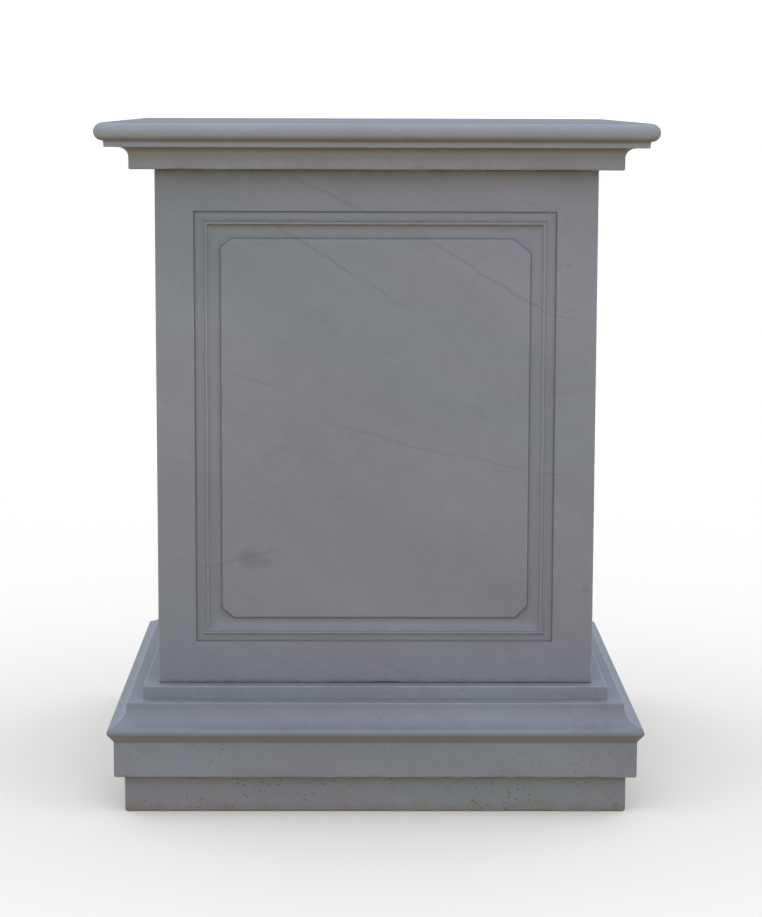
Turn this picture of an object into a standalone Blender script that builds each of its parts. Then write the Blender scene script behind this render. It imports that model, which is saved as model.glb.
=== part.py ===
"""Marble pedestal: a panelled die between a moulded base and a moulded cap, on a plain plinth slab.

Every stone is square in plan, so a member's size is given as its half width.
Heights run up from the ground, and the decorated front looks towards -Y.
"""

import math

import bmesh
import bpy
from mathutils import Matrix, Vector

# Gap left in the thin joints between the stones
JOINT = 0.0003

# Plinth slab, the lowest stone
SLAB_HALF = 0.3845
SLAB_TOP = 0.0565
SLAB_EASE = 0.0035
SLAB_EASE_FACETS = 3

# Moulded base: a plinth band, a nosing that sweeps up to a ledge, and a low block under the die
BASE_BED = SLAB_TOP + JOINT
PLINTH_HALF = 0.3995
PLINTH_HEAD = 0.1133
PLINTH_EASE = 0.0045
NOSE_HALF = 0.4094
NOSE_HEIGHT = 0.1290
NOSE_TOP_RADIUS = 0.0070
NOSE_TOP_SLOPE = 14.0
NOSE_UNDER_RADIUS = 0.0080
NOSE_UNDER_SWEEP = 45.0
LEDGE_HALF = 0.3812
LEDGE_HEIGHT = 0.1705
LEDGE_EDGE = 0.0060
BLOCK_HALF = 0.3570
BASE_TOP = 0.1910
BASE_EASE = 0.0015

# Die, the tall panelled block
DIE_BED = BASE_TOP + JOINT
DIE_HALF = 0.3345
DIE_TOP = 0.9795
DIE_EASE = 0.0015

# Cap: a plain band, a hollow, a fillet and a half-round edge
CAP_BED = DIE_TOP + JOINT
CAP_BAND_HALF = 0.3702
CAP_EASE = 0.0025
HOLLOW_FOOT = 0.9980
HOLLOW_RADIUS = 0.0148
SOFFIT = 1.0132
FILLET_HALF = 0.4045
FILLET_BATTER = 0.0010
ROUND_FOOT = 1.0225
ROUND_REACH = 0.4175
CAP_TOP = 1.0500

# Panel outline on each face of the die, and how far the front one stands off the middle
PANEL_HALF = 0.2745
PANEL_FOOT = 0.2555
PANEL_HEAD = 0.9170
FRONT_PANEL_SHIFT = -0.0019

# Panel mouldings from the outer arris inwards: widths, and depths below the face of the die
GROOVE_SLOPE = 0.0010
GROOVE_FLOOR = 0.0005
GROOVE_DEPTH = 0.0040
BAND_WIDTH = 0.0120
BAND_ARRIS = 0.0005
STEP_WIDTH = 0.0025
LIST_DEPTH = 0.0020
LIST_WIDTH = 0.0040
SWEEP_WIDTH = 0.0145
PANEL_DEPTH = 0.0095
FLOOR_WIDTH = 0.0029
FIELD_BEVEL = 0.0027
FIELD_RISE = 0.0047

# The front field was cut a little low and to the left of its frame: across and up
FRONT_FIELD_SHIFT = (-0.0006, -0.0025)

# Clipped corners of the raised field on the front, cut by eye: across and up for each corner
FRONT_CLIPS = {
    (-1, 1): (0.0163, 0.0128),
    (1, 1): (0.0257, 0.0206),
    (-1, -1): (0.0169, 0.0141),
    (1, -1): (0.0174, 0.0190),
}
PLAIN_CLIP = (0.0180, 0.0160)

# Facets on the curved members
SWEEP_FACETS = 12
ROUND_FACETS = 20
HOLLOW_FACETS = 10
NOSE_FACETS = 6
EASE_FACETS = 3
PANEL_FACETS = 7

# Marble colours of the four stones, linear, and the finish they share
SLAB_COLOUR = (0.215, 0.210, 0.222, 1.0)
BASE_COLOUR = (0.262, 0.268, 0.305, 1.0)
DIE_COLOUR = (0.262, 0.264, 0.294, 1.0)
CAP_COLOUR = (0.270, 0.268, 0.290, 1.0)
MARBLE_ROUGHNESS = 0.72


def clear_scene():
    """Remove every object that the file holds."""
    for old in list(bpy.data.objects):
        bpy.data.objects.remove(old, do_unlink=True)


def marble(name, colour):
    """Make the matt marble of one stone."""
    material = bpy.data.materials.new(name)
    material.use_nodes = True
    shader = material.node_tree.nodes["Principled BSDF"]
    shader.inputs["Base Color"].default_value = colour
    shader.inputs["Roughness"].default_value = MARBLE_ROUGHNESS
    shader.inputs["Metallic"].default_value = 0.0
    material.diffuse_color = colour
    return material


def place_stone(mesh, bed, colour, collection, carrier):
    """Stand one stone on its bed height, in its own marble."""
    stone = bpy.data.objects.new(mesh.name, mesh)
    collection.objects.link(stone)
    stone.parent = carrier
    stone.location = (0.0, 0.0, bed)
    mesh.materials.append(marble(mesh.name + "_marble", colour))
    return stone


def arc(centre, radius, start, end, facets):
    """Points round a centre in the profile plane, with angles in degrees up from the outward direction."""
    points = []
    for index in range(facets + 1):
        angle = math.radians(start + (end - start) * index / facets)
        points.append((centre[0] + radius * math.cos(angle), centre[1] + radius * math.sin(angle)))
    return points


def nosing():
    """Points of the base's hollow from the ledge down to the nose, and round under the nose."""
    slope = math.radians(NOSE_TOP_SLOPE)
    top_centre = (NOSE_HALF - NOSE_TOP_RADIUS, NOSE_HEIGHT)
    lip_out = top_centre[0] + NOSE_TOP_RADIUS * math.sin(slope)
    lip_height = top_centre[1] + NOSE_TOP_RADIUS * math.cos(slope)
    start_height = LEDGE_HEIGHT - LEDGE_EDGE
    run = lip_out - LEDGE_HALF
    fall = start_height - lip_height
    # The hollow is part of an ellipse, upright at the ledge, that meets the nose at the nose's own slope.
    steepness = math.tan(slope) * run / fall
    turn = math.acos(steepness / (1.0 - steepness))
    across = run / (1.0 - math.cos(turn))
    down = fall / math.sin(turn)
    points = []
    for index in range(SWEEP_FACETS + 1):
        angle = turn * index / SWEEP_FACETS
        points.append((LEDGE_HALF + across * (1.0 - math.cos(angle)), start_height - down * math.sin(angle)))
    points += arc(top_centre, NOSE_TOP_RADIUS, 90.0 - NOSE_TOP_SLOPE, 0.0, NOSE_FACETS)[1:]
    under_centre = (NOSE_HALF - NOSE_UNDER_RADIUS, NOSE_HEIGHT)
    points += arc(under_centre, NOSE_UNDER_RADIUS, 0.0, -NOSE_UNDER_SWEEP, NOSE_FACETS)[1:]
    return points


def base_profile():
    """Outline of the base stone from the middle of its top, down its outer side, to the middle of its bed."""
    points = [(0.0, BASE_TOP), (BLOCK_HALF - BASE_EASE, BASE_TOP), (BLOCK_HALF, BASE_TOP - BASE_EASE)]
    points += [(BLOCK_HALF, LEDGE_HEIGHT), (LEDGE_HALF - BASE_EASE, LEDGE_HEIGHT)]
    points += [(LEDGE_HALF, LEDGE_HEIGHT - BASE_EASE)]
    points += nosing()
    points += [(PLINTH_HALF, PLINTH_HEAD)]
    points += arc((PLINTH_HALF - PLINTH_EASE, BASE_BED + PLINTH_EASE), PLINTH_EASE, 0.0, -90.0, EASE_FACETS)
    points += [(0.0, BASE_BED)]
    return points


def cap_profile():
    """Outline of the cap stone from the middle of its top, down its outer side, to the middle of its bed."""
    radius = (CAP_TOP - ROUND_FOOT) / 2.0
    hollow_head = CAP_BAND_HALF + HOLLOW_RADIUS
    points = [(0.0, CAP_TOP)]
    points += arc((ROUND_REACH - radius, CAP_TOP - radius), radius, 90.0, -90.0, ROUND_FACETS)
    points += [(FILLET_HALF, ROUND_FOOT), (FILLET_HALF - FILLET_BATTER, SOFFIT), (hollow_head, SOFFIT)]
    points += arc((hollow_head, HOLLOW_FOOT), HOLLOW_RADIUS, 90.0, 180.0, HOLLOW_FACETS)
    points += arc((CAP_BAND_HALF - CAP_EASE, CAP_BED + CAP_EASE), CAP_EASE, 0.0, -90.0, EASE_FACETS)
    points += [(0.0, CAP_BED)]
    return points


def moulded_stone(name, profile, colour, collection, carrier):
    """Run a profile round a square: a screw of four turns, with the profile out at the corners."""
    bed = profile[-1][1]
    corner = math.sqrt(2.0)
    points = [(half * corner, 0.0, height - bed) for half, height in profile]
    edges = [(index, index + 1) for index in range(len(points) - 1)]
    mesh = bpy.data.meshes.new(name)
    mesh.from_pydata(points, edges, [])
    stone = place_stone(mesh, bed, colour, collection, carrier)
    stone.rotation_euler = (0.0, 0.0, math.radians(45.0))
    screw = stone.modifiers.new("four_sides", 'SCREW')
    screw.axis = 'Z'
    screw.angle = math.radians(360.0)
    screw.steps = 4
    screw.render_steps = 4
    screw.use_merge_vertices = True
    screw.merge_threshold = 0.00001
    screw.use_smooth_shade = False


def rising_hollow(width, rise):
    """Members of a hollow that starts flat and ends steep, as runs inwards and rises."""
    turns = [0.5 * math.pi * index / PANEL_FACETS for index in range(PANEL_FACETS + 1)]
    runs = [width * math.sin(turn) for turn in turns]
    rises = [rise * (1.0 - math.cos(turn)) for turn in turns]
    return [(runs[index + 1] - runs[index], rises[index + 1] - rises[index]) for index in range(PANEL_FACETS)]


def falling_hollow(width, fall):
    """Members of a hollow that starts steep and ends flat: the rising one run backwards."""
    return [(run, -rise) for run, rise in reversed(rising_hollow(width, fall))]


def front_frame():
    """Members of the front panel's frame from its outer arris inwards."""
    members = [(GROOVE_SLOPE, -GROOVE_DEPTH), (GROOVE_FLOOR, 0.0)]
    members += rising_hollow(BAND_WIDTH, GROOVE_DEPTH)
    members += [(BAND_ARRIS, 0.0), (STEP_WIDTH, -LIST_DEPTH), (LIST_WIDTH, 0.0)]
    members += falling_hollow(SWEEP_WIDTH, PANEL_DEPTH - LIST_DEPTH)
    return members


def plain_frame():
    """Members of the plainer frame on the other three sides: one flat list and one hollow."""
    flat = GROOVE_FLOOR + BAND_WIDTH + BAND_ARRIS + STEP_WIDTH + LIST_WIDTH
    members = [(GROOVE_SLOPE, -LIST_DEPTH), (flat, 0.0)]
    members += falling_hollow(SWEEP_WIDTH, PANEL_DEPTH - LIST_DEPTH)
    return members


def step_in(work, face, run, rise):
    """Step a face inwards by run, and towards the viewer by rise."""
    bmesh.ops.inset_region(work, faces=[face], thickness=run, depth=rise, use_even_offset=True)


def clip_corner(face, across, corner_side, clip):
    """Cut one corner off a flat upright face and return the part that is left."""
    towards = across * corner_side[0] + Vector((0.0, 0.0, corner_side[1]))
    reach = max(face.verts, key=lambda vertex: vertex.co.dot(towards))
    cuts = []
    for edge in [edge for edge in reach.link_edges if face in edge.link_faces]:
        along = edge.other_vert(reach).co - reach.co
        distance = clip[1] if abs(along.z) > abs(along.dot(across)) else clip[0]
        cuts.append((edge, distance / along.length))
    ends = [bmesh.utils.edge_split(edge, reach, share)[1] for edge, share in cuts]
    offcut, _ = bmesh.utils.face_split(face, ends[0], ends[1])
    return max((face, offcut), key=lambda part: part.calc_area())


def carve_panel(work, face, frame, clips, panel_shift, field_shift):
    """Carve a framed panel with a raised field into one upright face of the die."""
    outward = face.normal.copy()
    across = Vector((0.0, 0.0, 1.0)).cross(outward)
    step_in(work, face, DIE_HALF - PANEL_HALF, 0.0)
    for vertex in face.verts:
        side = math.copysign(1.0, vertex.co.dot(across))
        height = PANEL_HEAD if vertex.co.z > 0.0 else PANEL_FOOT
        vertex.co = across * (panel_shift + side * PANEL_HALF) + outward * DIE_HALF
        vertex.co.z = height - 0.5 * (DIE_BED + DIE_TOP)
    for run, rise in frame:
        step_in(work, face, run, rise)
    step_in(work, face, FLOOR_WIDTH, 0.0)
    for vertex in face.verts:
        vertex.co += across * field_shift[0]
        vertex.co.z += field_shift[1]
    field = face
    for corner_side, clip in clips.items():
        field = clip_corner(field, across, corner_side, clip)
    step_in(work, field, FIELD_BEVEL, FIELD_RISE)


def start_block(half, height):
    """Start a square block of the given half width, centred on its own middle."""
    work = bmesh.new()
    bmesh.ops.create_cube(work, size=1.0)
    size = Matrix.Diagonal((2.0 * half, 2.0 * half, height, 1.0))
    bmesh.ops.transform(work, matrix=size, verts=work.verts)
    return work


def finish_block(work, name, height):
    """Stand a finished block on its bed and keep it as a mesh."""
    bmesh.ops.translate(work, verts=work.verts, vec=(0.0, 0.0, height / 2.0))
    mesh = bpy.data.meshes.new(name)
    work.to_mesh(mesh)
    work.free()
    return mesh


def die_mesh():
    """Cut the die from one block: the moulded front panel, three plainer ones and eased arrises."""
    work = start_block(DIE_HALF, DIE_TOP - DIE_BED)
    arrises = list(work.edges)
    plain_clips = {corner_side: PLAIN_CLIP for corner_side in FRONT_CLIPS}
    for face in [face for face in work.faces if abs(face.normal.z) < 0.5]:
        if face.normal.y < -0.5:
            carve_panel(work, face, front_frame(), FRONT_CLIPS, FRONT_PANEL_SHIFT, FRONT_FIELD_SHIFT)
        else:
            carve_panel(work, face, plain_frame(), plain_clips, 0.0, (0.0, 0.0))
    bmesh.ops.bevel(work, geom=arrises, offset=DIE_EASE, segments=1, affect='EDGES', profile=0.5)
    return finish_block(work, "panelled_die", DIE_TOP - DIE_BED)


def slab_mesh():
    """Cut the plain slab."""
    return finish_block(start_block(SLAB_HALF, SLAB_TOP), "plinth_slab", SLAB_TOP)


def build():
    """Model the four stones from the ground up."""
    clear_scene()
    collection = bpy.data.collections.new("marble_pedestal")
    bpy.context.scene.collection.children.link(collection)
    carrier = bpy.data.objects.new("pedestal", None)
    collection.objects.link(carrier)

    slab = place_stone(slab_mesh(), 0.0, SLAB_COLOUR, collection, carrier)
    ease = slab.modifiers.new("eased_arrises", 'BEVEL')
    ease.width = SLAB_EASE
    ease.segments = SLAB_EASE_FACETS
    ease.limit_method = 'NONE'

    moulded_stone("moulded_base", base_profile(), BASE_COLOUR, collection, carrier)
    place_stone(die_mesh(), DIE_BED, DIE_COLOUR, collection, carrier)
    moulded_stone("cap", cap_profile(), CAP_COLOUR, collection, carrier)


build()
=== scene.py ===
# %% [markdown]
# # A marble pedestal
# The real thing is four blocks of grey marble stacked on each other: a plain slab, a moulded base, a tall
# die with sunk panels, and a moulded cap. The solids fix every size. This lesson gives the stones their
# looks: eased and worn arrises, fine mouldings, clouds, veins, marks and stains.

# %% Load the solids as a fixed frame
import math

import bmesh
import bpy
from mathutils import Matrix, Vector, noise


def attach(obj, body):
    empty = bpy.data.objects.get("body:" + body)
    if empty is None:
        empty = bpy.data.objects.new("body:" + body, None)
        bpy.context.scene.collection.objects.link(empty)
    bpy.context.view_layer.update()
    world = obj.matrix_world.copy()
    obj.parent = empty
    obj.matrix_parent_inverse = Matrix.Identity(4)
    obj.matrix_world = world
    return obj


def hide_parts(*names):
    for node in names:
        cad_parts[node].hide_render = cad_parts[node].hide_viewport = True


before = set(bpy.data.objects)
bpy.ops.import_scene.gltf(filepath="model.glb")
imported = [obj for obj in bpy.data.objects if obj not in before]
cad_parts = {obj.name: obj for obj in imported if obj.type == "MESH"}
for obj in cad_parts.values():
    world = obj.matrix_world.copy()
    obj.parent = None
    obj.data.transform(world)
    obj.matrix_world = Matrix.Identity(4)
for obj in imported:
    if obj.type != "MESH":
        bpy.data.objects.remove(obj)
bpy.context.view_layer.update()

# %% [markdown]
# ## Camera
# The pedestal was seen from about four metres, with the eye a little above the cap, so the top shows as a
# sliver and the base spreads out round the foot of the die. The place and the lens come from fitting the
# straight edges of the stones. The camera is turned in three plain steps, in degrees: a level pan, a tilt
# down and a small roll.

# %% Camera
CAMERA_PLACE = (-0.0307, -4.1983, 1.0870)
CAMERA_PAN = 0.5675
CAMERA_TILT = 8.0426
CAMERA_ROLL = 0.1732
LENS_MM = 100.342
SENSOR_MM = 36.0

camera_data = bpy.data.cameras.new("camera")
camera_data.lens = LENS_MM
camera_data.sensor_width = SENSOR_MM
camera = bpy.data.objects.new("camera", camera_data)
bpy.context.scene.collection.objects.link(camera)
pan = Matrix.Rotation(math.radians(-CAMERA_PAN), 4, 'Z')
tilt = Matrix.Rotation(math.radians(90.0 - CAMERA_TILT), 4, 'X')
roll = Matrix.Rotation(math.radians(CAMERA_ROLL), 4, 'Z')
camera.matrix_world = Matrix.Translation(CAMERA_PLACE) @ pan @ tilt @ roll
bpy.context.scene.camera = camera
print("camera at", CAMERA_PLACE, "with a lens of", LENS_MM, "mm")

# %% [markdown]
# ## Arithmetic on shader sockets
# Stone needs long sums of masks. Written node by node they are unreadable, so one small class wraps an
# output socket and lets Python's own signs add the Math nodes. Other nodes come from its method `node`.

# %% Sockets that can be added and multiplied
UP = (0.0, 0.0, 1.0)
BACKWARDS = (0.0, 1.0, 0.0)


class Wire:
    """An output socket of a node tree that takes part in sums."""

    def __init__(self, socket):
        self.socket = socket
        self.tree = socket.id_data

    def node(self, kind, settings, inputs, output=0):
        """Add a node, make its settings, fill or link its sockets, and give one of its outputs."""
        made = self.tree.nodes.new(kind)
        for name, value in settings.items():
            setattr(made, name, value)
        for name, value in inputs.items():
            if isinstance(value, Wire):
                self.tree.links.new(value.socket, made.inputs[name])
            else:
                made.inputs[name].default_value = value
        return Wire(made.outputs[output])

    def maths(self, operation, first, second=0.0):
        return self.node("ShaderNodeMath", {"operation": operation}, {0: first, 1: second})

    def __add__(self, other):
        return self.maths('ADD', self, other)

    def __sub__(self, other):
        return self.maths('SUBTRACT', self, other)

    def __rsub__(self, other):
        return self.maths('SUBTRACT', other, self)

    def __mul__(self, other):
        return self.maths('MULTIPLY', self, other)

    __radd__ = __add__
    __rmul__ = __mul__

    def __abs__(self):
        return self.maths('ABSOLUTE', self)

    def most(self, other):
        return self.maths('MAXIMUM', self, other)

    def ramp(self, low, high):
        """Rise smoothly from 0 at low to 1 at high; low may be the larger."""
        ends = {"Value": self, "From Min": low, "From Max": high}
        return self.node("ShaderNodeMapRange", {"interpolation_type": 'SMOOTHSTEP'}, ends)

    def blend(self, colour, other):
        """Lay one colour over another, with this value as the share of the second."""
        settings = {"data_type": 'RGBA', "blend_type": 'MIX'}
        return self.node("ShaderNodeMix", settings, {0: self, 6: colour, 7: other}, output=2)

    def shaded(self, colour):
        """Multiply a colour, or a value, by a colour."""
        settings = {"data_type": 'RGBA', "blend_type": 'MULTIPLY'}
        return self.node("ShaderNodeMix", settings, {0: 1.0, 6: self, 7: colour}, output=2)

    def dot(self, direction):
        """How far a place lies in a direction."""
        settings = {"operation": 'DOT_PRODUCT'}
        return self.node("ShaderNodeVectorMath", settings, {0: self, 1: direction}, output="Value")

    def noise(self, scale, detail=3.0, roughness=0.55, output="Fac"):
        sockets = {"Vector": self, "Scale": scale, "Detail": detail, "Roughness": roughness}
        return self.node("ShaderNodeTexNoise", {}, sockets, output=output)

    def warped(self, scale, amount):
        """Shift a place by coloured noise, so that straight things waver."""
        wave = self.noise(scale, output="Color")
        halves = (0.5, 0.5, 0.5)
        centred = self.node("ShaderNodeVectorMath", {"operation": 'SUBTRACT'}, {0: wave, 1: halves})
        sockets = {0: centred, 1: (amount, amount, amount), 2: self}
        return self.node("ShaderNodeVectorMath", {"operation": 'MULTIPLY_ADD'}, sockets)


print("Wire is ready")

# %% [markdown]
# ## Light and floor
# The stone stood in open shade: soft bluish light from the whole sky, and a weaker warm light thrown up by
# the ground. A world that changes with direction gives both at once, and it lights every side alike. The
# floor is plain and pale. It shows and takes shadows, but it throws no light of its own, because the
# world's lower half already stands for the ground.

# %% Light from the sky and the ground
SKY_COLOUR = (1.11, 1.22, 1.41, 1.0)
GROUND_COLOUR = (0.49, 0.38, 0.19, 1.0)
HORIZON_LOW = -0.06
HORIZON_HIGH = -0.03

world = bpy.data.worlds.new("open_shade")
world.use_nodes = True
bpy.context.scene.world = world
background = world.node_tree.nodes["Background"]
direction = Wire(world.node_tree.nodes.new("ShaderNodeTexCoord").outputs["Generated"])
light = direction.dot(UP).ramp(HORIZON_LOW, HORIZON_HIGH).blend(GROUND_COLOUR, SKY_COLOUR)
world.node_tree.links.new(light.socket, background.inputs["Color"])
bpy.context.scene.view_settings.view_transform = 'Standard'
print("sky", SKY_COLOUR[:3], "ground", GROUND_COLOUR[:3])

# %% Floor
FLOOR_RADIUS = 60.0
FLOOR_SIDES = 96
FLOOR_COLOUR = (0.91, 0.83, 0.72, 1.0)
FLOOR_ROUGHNESS = 0.9

floor_mesh = bpy.data.meshes.new("floor")
disc = bmesh.new()
bmesh.ops.create_circle(disc, cap_ends=True, radius=FLOOR_RADIUS, segments=FLOOR_SIDES)
disc.to_mesh(floor_mesh)
disc.free()
floor = bpy.data.objects.new("floor", floor_mesh)
bpy.context.scene.collection.objects.link(floor)
floor.visible_diffuse = False
floor_finish = bpy.data.materials.new("pale_floor")
floor_finish.use_nodes = True
floor_shader = floor_finish.node_tree.nodes["Principled BSDF"]
floor_shader.inputs["Base Color"].default_value = FLOOR_COLOUR
floor_shader.inputs["Roughness"].default_value = FLOOR_ROUGHNESS
floor_shader.inputs["Specular IOR Level"].default_value = 0.0
floor_mesh.materials.append(floor_finish)
print("floor of radius", FLOOR_RADIUS)

# %% [markdown]
# ## Marble
# The marble is a matt grey, clouded along one direction, with thin brown veins, most of which fall to the
# right. A vein is a sheet in the stone, so each one is a tilted plane a few millimetres thick, which ends
# about where the real vein ends. It could be painted on an image, but that would slide or stretch at the
# corners. A plane in the stone's own space comes out on every side where it should.

# %% Veins and marks
DIE_HALF = 0.3345
VEIN_COLOUR = (0.135, 0.115, 0.098, 1.0)
VEIN_END = 0.030
VEIN_STRENGTH = 0.6


def vein(place, start, end, half_width, strength, dip):
    """A vein across the front from start to end, given as (x, z), that dips as it runs into the stone."""
    run = Vector((end[0] - start[0], 0.0, end[1] - start[1]))
    along = run.normalized()
    across = Vector((-along.z, dip, along.x)).normalized()
    origin = Vector((start[0], -DIE_HALF, start[1]))
    off = abs(place.dot(tuple(across)) - across.dot(origin))
    travelled = place.dot(tuple(along)) - along.dot(origin)
    ends = travelled.ramp(-VEIN_END, VEIN_END) * travelled.ramp(run.length + VEIN_END, run.length - VEIN_END)
    return off.ramp(half_width, 0.0) * ends * strength


def mark(place, centre, radius, strength):
    """A soft round mark, such as a pit full of dirt or a patch of stain."""
    settings = {"operation": 'DISTANCE'}
    away = place.node("ShaderNodeVectorMath", settings, {0: place, 1: centre}, output="Value")
    return away.ramp(radius, 0.0) * strength


# Veins of the die: start, end, half width, strength and dip
DIE_VEINS = [
    ((-0.1623, 0.8990), (-0.0189, 0.8164), 0.0036, 0.50, 0.25),
    ((-0.0189, 0.8164), (0.0523, 0.7727), 0.0028, 0.40, 0.25),
    ((-0.1305, 0.9696), (-0.0192, 0.9189), 0.0045, 0.45, -0.20),
    ((0.0836, 0.8710), (0.2601, 0.7641), 0.0036, 0.48, 0.15),
    ((0.2500, 0.7660), (0.2996, 0.7565), 0.0026, 0.35, 0.15),
    ((-0.2345, 0.6759), (-0.1556, 0.6470), 0.0030, 0.42, -0.30),
    ((-0.0505, 0.5904), (0.1253, 0.5460), 0.0034, 0.42, 0.30),
    ((0.1253, 0.5460), (0.2956, 0.5138), 0.0030, 0.36, 0.30),
    ((-0.2701, 0.3700), (-0.1441, 0.4029), 0.0040, 0.40, 0.10),
    ((-0.2209, 0.3378), (-0.1641, 0.3128), 0.0045, 0.36, 0.20),
    ((-0.1967, 0.2468), (-0.1166, 0.2138), 0.0045, 0.32, -0.15),
    ((-0.1165, 0.2642), (-0.0348, 0.2595), 0.0035, 0.30, 0.10),
    ((-0.0177, 0.2312), (0.0705, 0.2013), 0.0045, 0.32, 0.20),
]

# Marks on the front of the die: across, up, radius and strength
DIE_MARKS = [
    (-0.1950, 0.3850, 0.026, 0.55), (-0.1720, 0.3800, 0.016, 0.40), (0.2894, 0.8369, 0.007, 0.40),
    (0.2873, 0.7672, 0.006, 0.38), (-0.1793, 0.7617, 0.0035, 0.85), (-0.2313, 0.6718, 0.0032, 0.85),
    (-0.3182, 0.6273, 0.0032, 0.80), (0.3252, 0.3387, 0.012, 0.45), (-0.1799, 0.6546, 0.0040, 0.55),
    (0.2680, 0.1990, 0.0050, 0.45),
]

print(len(DIE_VEINS), "veins and", len(DIE_MARKS), "marks on the die")

# %% [markdown]
# The finish of a stone is built up in the order in which the real one came about. First comes the clean
# stone: drawn-out clouds, blotches of a few centimetres, a grain of a few millimetres, and a slow change of
# tone with height, which on the die is partly the stone's own tone and partly painted shade, darker towards
# the foot.

# %% Clean stone
CLOUD_ALONG = (0.89, 0.0, -0.455)
CLOUD_ACROSS = (0.455, 0.0, 0.89)
CLOUD_WAVE_SCALE = 4.0
CLOUD_WAVE = 0.10
CLOUD_LENGTHENING = 0.35
CLOUD_DEEPENING = 0.6
CLOUD_SCALE = 7.0
CLOUD_STRENGTH = 0.34
BLOTCH_STRENGTH = 0.20
GRAIN_STRENGTH = 0.32
LOW = 0.10
HIGH_UP = 0.90
TINT_SCALE = 3.0
GREENISH = (0.90, 1.00, 0.95, 1.0)


def clouded(place):
    """The place squeezed along the stone's bedding, so that noise comes out as drawn-out clouds."""
    waved = place.warped(CLOUD_WAVE_SCALE, CLOUD_WAVE)
    along = waved.dot(CLOUD_ALONG) * CLOUD_LENGTHENING
    deep = waved.dot(BACKWARDS) * CLOUD_DEEPENING
    return place.node("ShaderNodeCombineXYZ", {}, {"X": along, "Y": deep, "Z": waved.dot(CLOUD_ACROSS)})


def clean_stone(body, tones_and_shade, place, bedding, blotches, grain):
    """Colour of the stone before anything is laid over it, with its tones low and high on the pedestal."""
    low_tone, high_tone = tones_and_shade
    tone = 1.0 + (bedding.noise(CLOUD_SCALE, detail=5.0) - 0.5) * CLOUD_STRENGTH
    tone = tone + (blotches - 0.5) * BLOTCH_STRENGTH + (grain - 0.5) * GRAIN_STRENGTH
    # On the die this change with height is partly the stone's own tone and partly painted shade, darker
    # below.
    tone = tone * (low_tone + place.dot(UP).ramp(LOW, HIGH_UP) * (high_tone - low_tone))
    colour = tone.shaded(body)
    return bedding.noise(TINT_SCALE).ramp(0.40, 0.65).blend(colour, colour.shaded(GREENISH))


print("clouds run along", CLOUD_ALONG)

# %% [markdown]
# Then come the lines in the stone. Besides the veins that have a place of their own there are faint wisps,
# which lie where one noise passes through its middle value, and only where a second, broader noise is high.

# %% Lines in the stone
WISP_SCALE = 6.0
WISP_HALF_WIDTH = 0.010
WISP_STRENGTH = 0.13
WISP_PATCH_SCALE = 3.5


def lines_in(veins, place, wavering, bedding):
    """Share of vein at each place, from the faint wisps and the placed veins."""
    wisps = abs(bedding.noise(WISP_SCALE, detail=4.0) - 0.5).ramp(WISP_HALF_WIDTH, 0.0)
    lines = wisps * place.noise(WISP_PATCH_SCALE).ramp(0.50, 0.62) * WISP_STRENGTH
    for start, end, half_width, strength, dip in veins:
        lines = lines.most(vein(wavering, start, end, half_width, strength * VEIN_STRENGTH, dip))
    return lines


print("wisps are", WISP_STRENGTH, "as strong as solid vein")

# %% [markdown]
# Last comes what time has added, and some painted light: stains beside the joints, which under the
# overhangs are partly painted shadow, undersides darkened brown as painted shade, a darker top, pits full
# of dirt, dirt and painted shade in the corners, and arrises rubbed light with a painted highlight. Corners
# and arrises are known by the numbers that the outlines carry, so the corner shade and the arris light
# follow the mesh on every side.

# %% Stains, dirt and wear
DIRT_AND_SHADE_COLOUR = (0.070, 0.055, 0.040, 1.0)
STAIN_AND_SHADE_COLOUR = (0.150, 0.120, 0.085, 1.0)
RUBBED_AND_HIGHLIGHT_COLOUR = (0.420, 0.405, 0.410, 1.0)
SOOT_COLOUR = (0.0, 0.0, 0.0, 1.0)
STAIN_AND_SHADE_RAGGEDNESS = 1.5
UNDERSIDE_SHADE = 0.62
TOP_SOOT = 0.52
TOP_FROM = 1.044
TOP_FULL = 1.049
PIT_SCALE = 120.0
PIT_PATCH_SCALE = 16.0
DIRT_AND_SHADE_LEAST = 0.35
RUBBED_AND_HIGHLIGHT_STRENGTH = 0.80


def stained_and_shaded(colour, place, blotches, stain_and_shade_bands):
    """Lay stains, some partly painted shadow, then painted shade on undersides and a darker top."""
    # Bands of stain at given heights; those under an overhang are partly painted shadow.
    for full, gone, strength in stain_and_shade_bands:
        edge = place.dot(UP) + (blotches - 0.5) * (gone - full) * STAIN_AND_SHADE_RAGGEDNESS
        colour = (edge.ramp(gone, full) * strength).blend(colour, STAIN_AND_SHADE_COLOUR)
    facing = Wire(place.tree.nodes.new("ShaderNodeNewGeometry").outputs["Normal"]).dot(UP)
    # Painted shade: faces that turn downwards are darkened towards a warm brown.
    colour = (facing.ramp(-0.35, -0.95) * UNDERSIDE_SHADE).blend(colour, STAIN_AND_SHADE_COLOUR)
    top = facing.ramp(0.90, 0.99) * place.dot(UP).ramp(TOP_FROM, TOP_FULL)
    return (top * TOP_SOOT).blend(colour, SOOT_COLOUR)


def pitted(colour, place, strength):
    """Scatter small dark spots in patches, for pits full of dirt."""
    cells = {"Vector": place, "Scale": PIT_SCALE}
    pits = place.node("ShaderNodeTexVoronoi", {}, cells, output="Distance").ramp(0.22, 0.10)
    patches = place.noise(PIT_PATCH_SCALE).ramp(0.50, 0.60)
    return (pits * patches * strength).blend(colour, DIRT_AND_SHADE_COLOUR)


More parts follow.
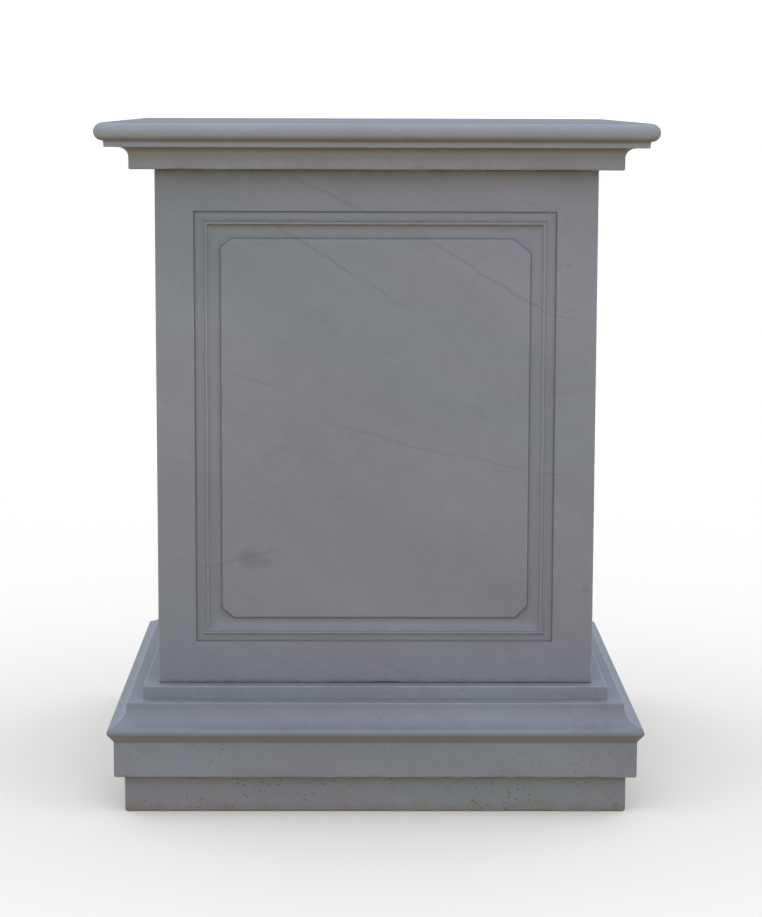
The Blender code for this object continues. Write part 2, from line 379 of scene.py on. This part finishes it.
def worn_with_painted_light(colour, place, blotches):
    """Unevenly darken corners (dirt, painted shade) and lighten arrises (rubbing, painted highlight)."""
    wear_and_painted_light = place.node("ShaderNodeAttribute", {"attribute_name": "wear_and_painted_light"}, {}, output="Fac")
    # Corners get dirt and painted shade: they are darkened towards a dark brown.
    dirt_and_shade = (0.0 - wear_and_painted_light).most(0.0) * (DIRT_AND_SHADE_LEAST + blotches * 0.5)
    # Arrises get rubbing and a painted highlight: they are lightened towards a pale grey.
    rubbed_and_highlight = wear_and_painted_light.most(0.0) * (blotches - 0.15) * RUBBED_AND_HIGHLIGHT_STRENGTH
    return rubbed_and_highlight.blend(dirt_and_shade.blend(colour, DIRT_AND_SHADE_COLOUR), RUBBED_AND_HIGHLIGHT_COLOUR)


print("stains, pits and wear are ready")

# %% Finish of one stone
GRAIN_SCALE = 420.0
BLOTCH_SCALE = 38.0
VEIN_WAVE_SCALE = 14.0
VEIN_WAVE = 0.022
VEIN_RIPPLE_SCALE = 60.0
VEIN_RIPPLE = 0.005
ROUGHNESS = 0.62
BUMP_STRENGTH = 0.35
BUMP_HEIGHT = 0.0008


def marble(name, body, tones_and_shade, stain_and_shade_bands, veins=(), marks=(), face=DIE_HALF, pitting=0.0):
    """Make the finish of one stone. Marks lie on the front face, which stands at the given half width."""
    finish = bpy.data.materials.new(name)
    finish.use_nodes = True
    tree = finish.node_tree
    place = Wire(tree.nodes.new("ShaderNodeTexCoord").outputs["Object"])
    wavering = place.warped(VEIN_WAVE_SCALE, VEIN_WAVE).warped(VEIN_RIPPLE_SCALE, VEIN_RIPPLE)
    bedding = clouded(place)
    grain = place.noise(GRAIN_SCALE, roughness=0.7)
    blotches = place.noise(BLOTCH_SCALE, detail=4.0, roughness=0.65)
    broken = 0.25 + blotches * 1.3

    colour = clean_stone(body, tones_and_shade, place, bedding, blotches, grain)
    lines = lines_in(veins, place, wavering, bedding)
    colour = (lines * broken).blend(colour, VEIN_COLOUR)
    for across, height, radius, strength in marks:
        spot = mark(wavering, (across, -face, height), radius, strength)
        colour = (spot * broken).blend(colour, VEIN_COLOUR)
    colour = stained_and_shaded(colour, place, blotches, stain_and_shade_bands)
    if pitting:
        colour = pitted(colour, place, pitting)
    colour = worn_with_painted_light(colour, place, blotches)

    rough = ROUGHNESS + (blotches - 0.5) * 0.25 + lines * 0.15
    heights = {"Height": grain * 0.5 + blotches * 0.5, "Strength": BUMP_STRENGTH, "Distance": BUMP_HEIGHT}
    relief = place.node("ShaderNodeBump", {}, heights)
    shader = tree.nodes["Principled BSDF"]
    for wire, socket in ((colour, "Base Color"), (rough, "Roughness"), (relief, "Normal")):
        tree.links.new(wire.socket, shader.inputs[socket])
    print(name, "has", len(tree.nodes), "nodes")
    return finish


print("roughness is about", ROUGHNESS)

# %% Finishes of the four stones
SLAB_HALF = 0.3845
SLAB_TOP = 0.0565
BASE_BED = 0.0568
PLINTH_HALF = 0.3995
DIE_BED = 0.1913
DIE_TOP = 0.9795
CAP_BED = 0.9798

# Colour of each stone, and its tones low and high on the pedestal
CAP_COLOUR = (0.300, 0.292, 0.312, 1.0)
DIE_COLOUR = (0.266, 0.262, 0.287, 1.0)
BASE_COLOUR = (0.228, 0.224, 0.250, 1.0)
SLAB_COLOUR = (0.212, 0.202, 0.216, 1.0)
EVEN = (1.0, 1.0)
# The die's lower tone is partly the stone's own and partly painted shade towards its foot.
DIE_TONES_AND_SHADE = (0.77, 0.98)
BASE_TONES = (0.96, 1.08)

# Dark marks on the front of the base's plinth band and of the slab: across, up, radius and strength
BASE_MARKS = [
    (0.2188, 0.0944, 0.0030, 0.90), (0.2364, 0.0799, 0.0028, 0.85), (0.2493, 0.0799, 0.0030, 0.90),
    (0.2882, 0.0705, 0.0030, 0.90), (0.3065, 0.0842, 0.0026, 0.85), (0.3325, 0.0996, 0.0026, 0.80),
]
SLAB_MARKS = [
    (-0.0920, 0.0260, 0.0060, 0.55), (0.3700, 0.0120, 0.0090, 0.60), (0.1300, 0.0480, 0.0040, 0.70),
]

# Stains: height where full, height where gone, and strength
CAP_STAINS = [(CAP_BED, 0.9850, 0.45)]
# The die's top band, under the cap's overhang, is partly stain and partly painted shadow.
DIE_STAINS_AND_SHADE = [(DIE_TOP, 0.9690, 0.30), (DIE_BED, 0.1990, 0.55)]
BASE_STAINS = [(BASE_BED, 0.0620, 0.60)]
# The slab's bands, under the plinth's overhang and at its foot, are partly stain and partly painted shade.
SLAB_STAINS_AND_SHADE = [(SLAB_TOP, 0.0500, 0.50), (0.0, 0.0200, 0.50)]
BASE_PITTING = 0.45
SLAB_PITTING = 0.9

CAP_MARBLE = marble("cap_marble", CAP_COLOUR, EVEN, CAP_STAINS)
DIE_MARBLE = marble("die_marble", DIE_COLOUR, DIE_TONES_AND_SHADE, DIE_STAINS_AND_SHADE, DIE_VEINS, DIE_MARKS)
BASE_MARBLE = marble("base_marble", BASE_COLOUR, BASE_TONES, BASE_STAINS, marks=BASE_MARKS,
                     face=PLINTH_HALF, pitting=BASE_PITTING)
DULL_MARBLE = marble("dull_marble", SLAB_COLOUR, EVEN, SLAB_STAINS_AND_SHADE, marks=SLAB_MARKS,
                     face=SLAB_HALF, pitting=SLAB_PITTING)

# %% [markdown]
# ## Outlines
# A moulding is an outline run along a stone. A mason's arris is never a knife edge, so each corner of an
# outline is eased by a small radius before it is run, and a number beside each point says how worn it is
# and where light is painted: above 0 on an arris that is rubbed light and given a painted highlight, below 0
# in a corner that holds dirt and is darkened as painted shade.

# %% Ease and fill an outline
BESIDE_ARRIS = 0.0013
EASE_LIMIT = 2.2
SIDE_WEAR_AND_PAINTED_LIGHT = 0.3


def eased(corners):
    """Ease the corners (out, up, radius) of an outline. Gives points (out, up, wear_and_painted_light)."""
    line = []
    for index, (out, up, radius) in enumerate(corners):
        if radius == 0.0:
            line.append((out, up, 0.0))
            continue
        point = Vector((out, up))
        before = Vector(corners[index - 1][:2]) - point
        after = Vector(corners[index + 1][:2]) - point
        wear_and_painted_light = math.copysign(1.0, before.cross(after))
        start = point + before.normalized() * min(radius, before.length / EASE_LIMIT)
        end = point + after.normalized() * min(radius, after.length / EASE_LIMIT)
        middle = (start + 2.0 * point + end) / 4.0
        line += [(*start, SIDE_WEAR_AND_PAINTED_LIGHT * wear_and_painted_light), (*middle, wear_and_painted_light), (*end, SIDE_WEAR_AND_PAINTED_LIGHT * wear_and_painted_light)]
    return line


def filled(line, pitch):
    """Add points along the straights of an outline, close ones beside an arris to keep its marks narrow."""
    full = [line[0]]
    for start, end in zip(line, line[1:]):
        length = math.hypot(end[0] - start[0], end[1] - start[1])
        low, high = 0.0, 1.0
        if length > 4.0 * BESIDE_ARRIS:
            low = BESIDE_ARRIS / length if start[2] else 0.0
            high = 1.0 - BESIDE_ARRIS / length if end[2] else 1.0
        count = max(1, math.ceil((high - low) * length / pitch))
        shares = [low + (high - low) * index / count for index in range(count + 1)]
        for share in shares:
            if 0.0 < share < 1.0:
                out = start[0] + (end[0] - start[0]) * share
                up = start[1] + (end[1] - start[1]) * share
                full.append((out, up, 0.0))
        full.append(end)
    return full


def arc(centre, radius, start, end, count):
    """Points (out, up, 0) round a centre, angles in degrees up from the outward direction."""
    out, up = centre
    turns = [math.radians(start + (end - start) * index / count) for index in range(count + 1)]
    return [(out + radius * math.cos(turn), up + radius * math.sin(turn), 0.0) for turn in turns]


print("outlines can be eased and filled")

# %% [markdown]
# ## Skins
# Each stone is one closed skin of quads. It is laid in patches whose edges have the same points, and the
# points are then welded. A square stone needs only rings, one for each point of its outline. Its hidden beds
# are closed with one flat face each.

# %% Lay patches and weld them
WELD = 0.00001
SHARP_TURN = math.radians(33.0)


class Skin:
    """Patches of quads that are welded into one closed stone."""

    def __init__(self):
        self.mesh = bmesh.new()
        # This layer also marks where shade and highlight are painted.
        self.wear_and_painted_light = self.mesh.verts.layers.float.new("wear_and_painted_light")

    def point(self, place):
        made = self.mesh.verts.new(place[:3])
        made[self.wear_and_painted_light] = place[3]
        return made

    def lay(self, rows, closed):
        """Lay quads between rows of points (x, y, z, wear_and_painted_light); closed rows are rings."""
        grid = [[self.point(place) for place in row] for row in rows]
        for upper, lower in zip(grid, grid[1:]):
            for index in range(len(upper) if closed else len(upper) - 1):
                after = (index + 1) % len(upper)
                self.mesh.faces.new((upper[index], upper[after], lower[after], lower[index]))
        return grid

    def bed(self, ring):
        """Close a ring with one flat hidden face."""
        self.mesh.faces.new(ring)

    def weld(self):
        bmesh.ops.remove_doubles(self.mesh, verts=self.mesh.verts, dist=WELD)
        bmesh.ops.recalc_face_normals(self.mesh, faces=self.mesh.faces)

    def finish(self, name, node, slot, finish):
        """Turn the skin into a piece that stands for one of the solids."""
        mesh = bpy.data.meshes.new(name)
        self.mesh.to_mesh(mesh)
        open_edges = sum(1 for edge in self.mesh.edges if not edge.is_manifold)
        self.mesh.free()
        mesh.shade_smooth()
        mesh.set_sharp_from_angle(angle=SHARP_TURN)
        mesh.materials.append(finish)
        piece = bpy.data.objects.new(name, mesh)
        bpy.context.scene.collection.objects.link(piece)
        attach(piece, "root")
        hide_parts(node)
        triangles = sum(len(face.vertices) - 2 for face in mesh.polygons)
        print(name, triangles, "triangles,", open_edges, "open edges")


print("points closer than", WELD * 1000.0, "mm are welded")

# %% Rings round a square stone
CORNER_CUT = 1.0 - math.sqrt(0.5)


def quarter_turned(x, y, quarter):
    """Turn a point by quarters of a circle, without rounding error."""
    for _ in range(quarter % 4):
        x, y = -y, x
    return x, y


def side_shares(count):
    """Places along a side from -1 to 1, closer beside the corners."""
    middle = [-1.0 + 2.0 * index / count for index in range(count + 1)]
    close = [1.0 - 0.4 / count, 1.0 - 1.0 / count]
    return sorted(set(middle + close + [-share for share in close]))


def level(half, height, wear_and_painted_light, shares, ease):
    """One ring round a square plan, with its four corners eased."""
    corner = half - ease * CORNER_CUT
    ring = []
    for quarter in range(4):
        for share in shares:
            ring.append((*quarter_turned(share * (half - ease), -half, quarter), height, wear_and_painted_light))
        ring.append((*quarter_turned(corner, -corner, quarter), height, wear_and_painted_light))
    return ring


def lid(half, height, shares, ease):
    """A grid of points that fills a level."""
    lines = [-half] + [share * (half - ease) for share in shares] + [half]
    cut = ease * CORNER_CUT / half
    rows = []
    for y in lines:
        row = []
        for x in lines:
            pulled = 1.0 - cut if abs(x) == half and abs(y) == half else 1.0
            row.append((x * pulled, y * pulled, height, 0.0))
        rows.append(row)
    return rows


print("a ring has", len(level(1.0, 0.0, 0.0, side_shares(8), 0.1)), "points at 8 parts a side")

# %% [markdown]
# ## Weather
# Frost, rain and knocks only ever take stone away. Every point moves inwards along its normal: a little
# everywhere, so that flat faces are not dead flat, and more on the arrises, where small nibbles and a few
# larger bruises come from two sizes of noise.

# %% Wear the skin
UNEVEN = 0.0003
UNEVEN_SCALE = 6.0
NIBBLE = 0.0007
NIBBLE_SCALE = 90.0
NIBBLE_LEVEL = -0.2
BRUISE = 0.0030
BRUISE_SCALE = 14.0
BRUISE_LEVEL = 0.38


def weather(skin, seed, rough=1.0):
    """Move every point of a skin inwards, and those of its arrises further where noise is above a level."""
    skin.mesh.normal_update()
    shift = Vector((seed, 2.0 * seed, 0.5 * seed))
    moves = []
    for vertex in skin.mesh.verts:
        place = vertex.co + shift
        depth = UNEVEN * rough * (0.5 + 0.5 * noise.noise(place * UNEVEN_SCALE))
        arris = max(0.0, vertex[skin.wear_and_painted_light])
        if arris:
            nibble = max(0.0, noise.noise(place * NIBBLE_SCALE) - NIBBLE_LEVEL)
            bruise = max(0.0, noise.noise(place * BRUISE_SCALE) - BRUISE_LEVEL)
            depth += arris * rough * (NIBBLE * nibble + BRUISE * bruise)
        moves.append((vertex, vertex.normal * depth))
    for vertex, move in moves:
        vertex.co -= move


print("uneven by", UNEVEN * 1000.0, "mm")

# %% [markdown]
# ## Cap
# The cap is a square slab with a plain band over the die, a hollow, a narrow fillet and a half-round edge.
# It could be made by bevelling a block, but a run outline keeps each member at its measured size.

# %% Cap
CAP_TOP = 1.0500
CAP_BAND = 0.3702
HOLLOW_FOOT = 0.9980
HOLLOW_RADIUS = 0.0148
SOFFIT = 1.0132
FILLET = 0.4045
ROUND_FOOT = 1.0225
ROUND_REACH = 0.4175
BED_INSET = 0.006
PITCH = 0.004
SIDE_PARTS = 148
CAP_CORNER = 0.0008
CAP_SEED = 3.1

round_radius = (CAP_TOP - ROUND_FOOT) / 2.0
hollow_head = CAP_BAND + HOLLOW_RADIUS
cap_corners = arc((ROUND_REACH - round_radius, CAP_TOP - round_radius), round_radius, 90.0, -84.0, 26)
cap_corners += [(FILLET + 0.0002, ROUND_FOOT + 0.0004, 0.0004)]
cap_corners += [(FILLET - 0.0002, ROUND_FOOT - 0.0010, 0.0008)]
cap_corners += [(FILLET - 0.0010, SOFFIT, 0.0010), (hollow_head, SOFFIT, 0.0002)]
cap_corners += arc((hollow_head, HOLLOW_FOOT), HOLLOW_RADIUS, 90.0, 180.0, 14)
cap_corners += [(CAP_BAND, CAP_BED, 0.0022), (DIE_HALF - BED_INSET, CAP_BED, 0.0)]
cap_line = filled(eased(cap_corners), PITCH)
moulded_shares = side_shares(SIDE_PARTS)
cap_levels = [level(out, up, wear_and_painted_light, moulded_shares, CAP_CORNER) for out, up, wear_and_painted_light in cap_line]

cap = Skin()
cap_rings = cap.lay(cap_levels, closed=True)
cap.bed(cap_rings[-1])
cap.lay(lid(cap_line[0][0], CAP_TOP, moulded_shares, CAP_CORNER), closed=False)
cap.weld()
weather(cap, CAP_SEED)
cap.finish("cap_marble", "cap", "marble", CAP_MARBLE)

# %% [markdown]
# ## Base
# One stone again: a low block for the die to stand on, a ledge, a long hollow that sweeps out to a nose, and
# the upright plinth band. The hollow could be drawn by eye, but a part of an ellipse that leaves the ledge
# upright and meets the nose at the nose's own slope has no kink at either end.

# %% Base
BASE_TOP = 0.1910
BLOCK_HALF = 0.3570
LEDGE_HALF = 0.3812
LEDGE_HEIGHT = 0.1705
LEDGE_EDGE = 0.0060
NOSE_HALF = 0.4094
NOSE_HEIGHT = 0.1290
NOSE_TOP_RADIUS = 0.0070
NOSE_TOP_SLOPE = 14.0
NOSE_UNDER_RADIUS = 0.0080
PLINTH_HEAD = 0.1133
SWEEP_PARTS = 16
BASE_CORNER = 0.0012
BASE_SEED = 7.7


def sweep_to_nose():
    """The hollow below the ledge, an ellipse that meets the nose at the nose's own slope, and the nose."""
    slope = math.radians(NOSE_TOP_SLOPE)
    centre = (NOSE_HALF - NOSE_TOP_RADIUS, NOSE_HEIGHT)
    start = LEDGE_HEIGHT - LEDGE_EDGE
    run = centre[0] + NOSE_TOP_RADIUS * math.sin(slope) - LEDGE_HALF
    fall = start - centre[1] - NOSE_TOP_RADIUS * math.cos(slope)
    steepness = math.tan(slope) * run / fall
    turn = math.acos(steepness / (1.0 - steepness))
    across = run / (1.0 - math.cos(turn))
    down = fall / math.sin(turn)
    points = []
    for index in range(SWEEP_PARTS + 1):
        angle = turn * index / SWEEP_PARTS
        points.append((LEDGE_HALF + across * (1.0 - math.cos(angle)), start - down * math.sin(angle), 0.0))
    points += arc(centre, NOSE_TOP_RADIUS, 90.0 - NOSE_TOP_SLOPE, 0.0, 8)[1:]
    points += arc((NOSE_HALF - NOSE_UNDER_RADIUS, NOSE_HEIGHT), NOSE_UNDER_RADIUS, 0.0, -45.0, 6)[1:]
    return points


base_corners = [(DIE_HALF - BED_INSET, BASE_TOP, 0.0), (BLOCK_HALF, BASE_TOP, 0.0016)]
base_corners += [(BLOCK_HALF, LEDGE_HEIGHT, 0.0008), (LEDGE_HALF, LEDGE_HEIGHT, 0.0016)]
base_corners += sweep_to_nose()
base_corners += [(PLINTH_HALF, PLINTH_HEAD, 0.0008), (PLINTH_HALF, BASE_BED, 0.0040)]
base_corners += [(SLAB_HALF - BED_INSET, BASE_BED, 0.0)]
base_line = filled(eased(base_corners), PITCH)
base_levels = [level(out, up, wear_and_painted_light, moulded_shares, BASE_CORNER) for out, up, wear_and_painted_light in base_line]

base = Skin()
base_rings = base.lay(base_levels, closed=True)
base.bed(base_rings[0])
base.bed(base_rings[-1])
base.weld()
weather(base, BASE_SEED)
base.finish("base_marble", "moulded_base", "marble", BASE_MARBLE)

# %% [markdown]
# ## Slab
# The lowest stone is a plain block with soft arrises, more weathered than the rest. It has more points along
# its sides than they have, so the heavier wear has finer steps.

# %% Slab
SLAB_LIP = 0.02
SLAB_UPPER_EASE = 0.0030
SLAB_LOWER_EASE = 0.0040
SLAB_PITCH = 0.003
SLAB_PARTS = 200
SLAB_CORNER = 0.0030
SLAB_SEED = 11.3
SLAB_ROUGH = 1.6

slab_corners = [(SLAB_HALF - SLAB_LIP, SLAB_TOP, 0.0), (SLAB_HALF, SLAB_TOP, SLAB_UPPER_EASE)]
slab_corners += [(SLAB_HALF, 0.0, SLAB_LOWER_EASE), (SLAB_HALF - SLAB_LIP, 0.0, 0.0)]
slab_line = filled(eased(slab_corners), SLAB_PITCH)
slab_shares = side_shares(SLAB_PARTS)
slab_levels = [level(out, up, wear_and_painted_light, slab_shares, SLAB_CORNER) for out, up, wear_and_painted_light in slab_line]

slab = Skin()
slab_rings = slab.lay(slab_levels, closed=True)
slab.bed(slab_rings[0])
slab.bed(slab_rings[-1])
slab.weld()
weather(slab, SLAB_SEED, rough=SLAB_ROUGH)
slab.finish("slab_marble", "plinth_slab", "dull_marble", DULL_MARBLE)

# %% [markdown]
# ## Die
# Each side of the die is a set of closed rings, from the arris of the block in to the edge of the raised
# field, and a grid that fills the field. All rings on a side have the same number of points, so a corner of
# a moulding is a true mitre. The field's corners are clipped: there the ring's corner point sits half way
# along the clip.

# %% Rings on a side of the die
CLIP_PARTS = 2


def divided(start, end, count):
    """Points from start up to, but not with, end."""
    return [(start[0] + (end[0] - start[0]) * k / count, start[1] + (end[1] - start[1]) * k / count)
            for k in range(count)]


def plain_ring(sides, wide, high):
    """Ring of a rectangle given by its left, foot, right and head."""
    left, foot, right, head = sides
    ring = divided((left, foot), (right, foot), wide)
    ring += divided((right, foot), (right, head), high)
    ring += divided((right, head), (left, head), wide)
    ring += divided((left, head), (left, foot), high)
    return ring


def clipped_corners(sides, clips):
    """The eight corners of a rectangle whose corners are cut off, round from the left end of the foot."""
    left, foot, right, head = sides
    low_left, low_right, high_right, high_left = clips
    return [(left + low_left[0], foot), (right - low_right[0], foot),
            (right, foot + low_right[1]), (right, head - high_right[1]),
            (right - high_right[0], head), (left + high_left[0], head),
            (left, head - high_left[1]), (left, foot + low_left[1])]


def grown(corners, distance):
    """Move every side of a closed outline outwards by a distance."""
    count = len(corners)
    lines = []
    for index in range(count):
        start = Vector(corners[index])
        along = (Vector(corners[(index + 1) % count]) - start).normalized()
        lines.append((start + Vector((along.y, -along.x)) * distance, along))
    moved = []
    for index in range(count):
        (first, along), (second, other) = lines[index - 1], lines[index]
        share = (second - first).cross(other) / along.cross(other)
        moved.append(tuple(first + along * share))
    return moved


def clipped_ring(corners, wide, high):
    """Ring of an eight-cornered outline, with the ring's own corners half way along the clips."""
    ring = []
    for side in range(4):
        start, end = corners[2 * side], corners[2 * side + 1]
        before, after = corners[2 * side - 1], corners[(2 * side + 2) % 8]
        count = (wide if side % 2 == 0 else high) - 2 * CLIP_PARTS
        ring += divided(((before[0] + start[0]) / 2, (before[1] + start[1]) / 2), start, CLIP_PARTS)
        ring += divided(start, end, count)
        ring += divided(end, ((end[0] + after[0]) / 2, (end[1] + after[1]) / 2), CLIP_PARTS)
    return ring


def field_grid(ring, wide, high):
    """Fill a ring with a grid whose lines bend smoothly from side to side."""
    foot = ring[:wide + 1]
    right = ring[wide:wide + high + 1]
    head = ring[wide + high:2 * wide + high + 1][::-1]
    left = (ring[2 * wide + high:] + ring[:1])[::-1]
    rows = []
    for j in range(high + 1):
        v = j / high
        row = []
        for i in range(wide + 1):
            u = i / wide
            place = []
            for axis in (0, 1):
                edges = (1 - v) * foot[i][axis] + v * head[i][axis]
                edges += (1 - u) * left[j][axis] + u * right[j][axis]
                corner_part = (1 - u) * (1 - v) * foot[0][axis] + u * (1 - v) * foot[wide][axis]
                corner_part += (1 - u) * v * head[0][axis] + u * v * head[wide][axis]
                place.append(edges - corner_part)
            row.append(tuple(place))
        rows.append(row)
    return rows


print("ring of 6 by 4 parts has", len(plain_ring((0, 0, 3, 2), 6, 4)), "points")

# %% [markdown]
# The front panel's moulding has four members, from its outer arris inwards: a fine groove, a band hollowed
# out beside the groove, a step down to a flat list, and a hollow that falls to the sunk floor. The other
# three sides are out of sight on the real pedestal. They get the same panel without the groove and the band.

# %% Mouldings of the panels
GROOVE_DEPTH = 0.0040
LIST_DEPTH = 0.0020
PANEL_DEPTH = 0.0095
FIELD_DEPTH = 0.0048
FIELD_BEVEL = 0.0027
GROOVE_WIDTH = 0.0016
BAND_END = 0.0132
SWEEP_START = 0.0204
SWEEP_START_DEPTH = 0.0028
SWEEP_END = 0.0350

# Edge of the raised field, from its foot up: distance outside the arris, depth and wear_and_painted_light.
# Below 0 a point takes dirt and painted shade, above 0 rubbing and a painted highlight.
FIELD_EDGE = [
    (FIELD_BEVEL + 0.0004, -PANEL_DEPTH, -0.3), (FIELD_BEVEL - 0.0003, -PANEL_DEPTH + 0.0003, -1.0),
    (0.0007, -FIELD_DEPTH - 0.0008, 0.3), (0.0001, -FIELD_DEPTH - 0.0002, 1.0),
    (-0.0006, -FIELD_DEPTH, 0.3), (-0.0020, -FIELD_DEPTH, 0.0),
]


def quarter_hollow(start, end, depth_start, depth_end, count, steep_end):
    """Points of a quarter of an ellipse between two insets, steep at its end or else at its start."""
    points = []
    for index in range(1, count + 1):
        turn = 0.5 * math.pi * index / count
        if steep_end:
            run, fall = math.sin(turn), 1.0 - math.cos(turn)
        else:
            run, fall = 1.0 - math.cos(turn), math.sin(turn)
        points.append((start + (end - start) * run, depth_start + (depth_end - depth_start) * fall, 0.0))
    return points


def front_moulding():
    """(inset, depth, wear_and_painted_light) from the panel's outer arris to its floor."""
    line = [(0.0, 0.0, 0.0), (0.0009, -0.0038, -1.0), (GROOVE_WIDTH, -GROOVE_DEPTH, -0.6)]
    line += quarter_hollow(GROOVE_WIDTH, BAND_END, -GROOVE_DEPTH, -0.0003, 9, True)
    line += [(0.0136, -0.0001, 1.0), (0.0142, -0.0004, 0.3), (0.0158, -LIST_DEPTH, -0.8)]
    line += [(0.0169, -LIST_DEPTH, 0.0), (0.0196, -LIST_DEPTH, 0.0), (0.0202, -0.0023, 1.0)]
    line += quarter_hollow(SWEEP_START, SWEEP_END, -SWEEP_START_DEPTH, -PANEL_DEPTH, 10, False)
    return line


def plain_moulding():
    """(inset, depth, wear_and_painted_light) of the plainer panels."""
    line = [(0.0, 0.0, 0.0), (0.0010, -LIST_DEPTH, -0.5), (0.0024, -LIST_DEPTH, 0.0)]
    line += [(0.0080 + 0.0058 * index, -LIST_DEPTH, 0.0) for index in range(3)]
    line += [(0.0202, -0.0023, 1.0)]
    line += quarter_hollow(SWEEP_START, SWEEP_END, -SWEEP_START_DEPTH, -PANEL_DEPTH, 8, False)
    return line


print(len(front_moulding()), "points across the front moulding")

# %% Lay one side of the die
DIE_EASE = 0.0014
FRAME_SHARES = [0.02, 0.08, 0.18, 0.3, 0.42, 0.54, 0.66, 0.78, 0.88, 0.95, 0.985]


def inset_sides(sides, insets):
    """Move the left, foot, right and head of a rectangle inwards."""
    left, foot, right, head = sides
    return (left + insets[0], foot + insets[1], right - insets[2], head - insets[3])


def lay_side(skin, quarter, wide, high, moulding, panel, field, clips):
    """Lay the rings and the field of one side. Panel and field are given as left, foot, right, head."""
    block = (-DIE_HALF, DIE_BED, DIE_HALF, DIE_TOP)
    cut = DIE_EASE * CORNER_CUT

    def placed(ring, depth, wear_and_painted_light):
        row = []
        for across, up in ring:
            x, y = quarter_turned(across, -(DIE_HALF + depth), quarter)
            row.append((x, y, up, wear_and_painted_light))
        return row

    outer = inset_sides(block, [DIE_EASE] * 4)
    rings = [placed(plain_ring(inset_sides(block, [cut] * 4), wide, high), -cut, 1.0)]
    rings.append(placed(plain_ring(outer, wide, high), 0.0, SIDE_WEAR_AND_PAINTED_LIGHT))
    for share in FRAME_SHARES:
        sides = [start + (end - start) * share for start, end in zip(outer, panel)]
        rings.append(placed(plain_ring(sides, wide, high), 0.0, 0.0))
    for inset, depth, wear_and_painted_light in moulding:
        rings.append(placed(plain_ring(inset_sides(panel, [inset] * 4), wide, high), depth, wear_and_painted_light))
    corners = clipped_corners(field, clips)
    for away, depth, wear_and_painted_light in FIELD_EDGE:
        inner = clipped_ring(grown(corners, away), wide, high)
        rings.append(placed(inner, depth, wear_and_painted_light))
    skin.lay(rings, closed=True)
    skin.lay([placed(row, -FIELD_DEPTH, 0.0) for row in field_grid(inner, wide, high)], closed=False)


print("a side is laid from its arris inwards")

# %% Die
PANEL_HALF = 0.2745
PANEL_FOOT = 0.2555
PANEL_HEAD = 0.9170
FRONT_SHIFT = -0.0019
FRONT_FIELD_INSETS = (0.0417, 0.0378, 0.0405, 0.0433)
FRONT_CLIPS = [(0.0169, 0.0141), (0.0174, 0.0190), (0.0257, 0.0206), (0.0163, 0.0128)]
PLAIN_FIELD_INSETS = [0.0406] * 4
PLAIN_CLIPS = [(0.0180, 0.0160)] * 4
FRONT_WIDE = 100
SIDE_WIDE = 44
HIGH = 110
DIE_SEED = 5.9

front_panel = (FRONT_SHIFT - PANEL_HALF, PANEL_FOOT, FRONT_SHIFT + PANEL_HALF, PANEL_HEAD)
front_field = inset_sides(front_panel, FRONT_FIELD_INSETS)
plain_panel = (-PANEL_HALF, PANEL_FOOT, PANEL_HALF, PANEL_HEAD)
plain_field = inset_sides(plain_panel, PLAIN_FIELD_INSETS)

die = Skin()
lay_side(die, 0, FRONT_WIDE, HIGH, front_moulding(), front_panel, front_field, FRONT_CLIPS)
for quarter, wide in ((1, SIDE_WIDE), (3, SIDE_WIDE), (2, FRONT_WIDE)):
    lay_side(die, quarter, wide, HIGH, plain_moulding(), plain_panel, plain_field, PLAIN_CLIPS)
die.weld()
open_rim = [edge for edge in die.mesh.edges if edge.is_boundary]
bmesh.ops.holes_fill(die.mesh, edges=open_rim, sides=0)
bmesh.ops.recalc_face_normals(die.mesh, faces=die.mesh.faces)
weather(die, DIE_SEED)
die.finish("die_marble", "panelled_die", "marble", DIE_MARBLE)
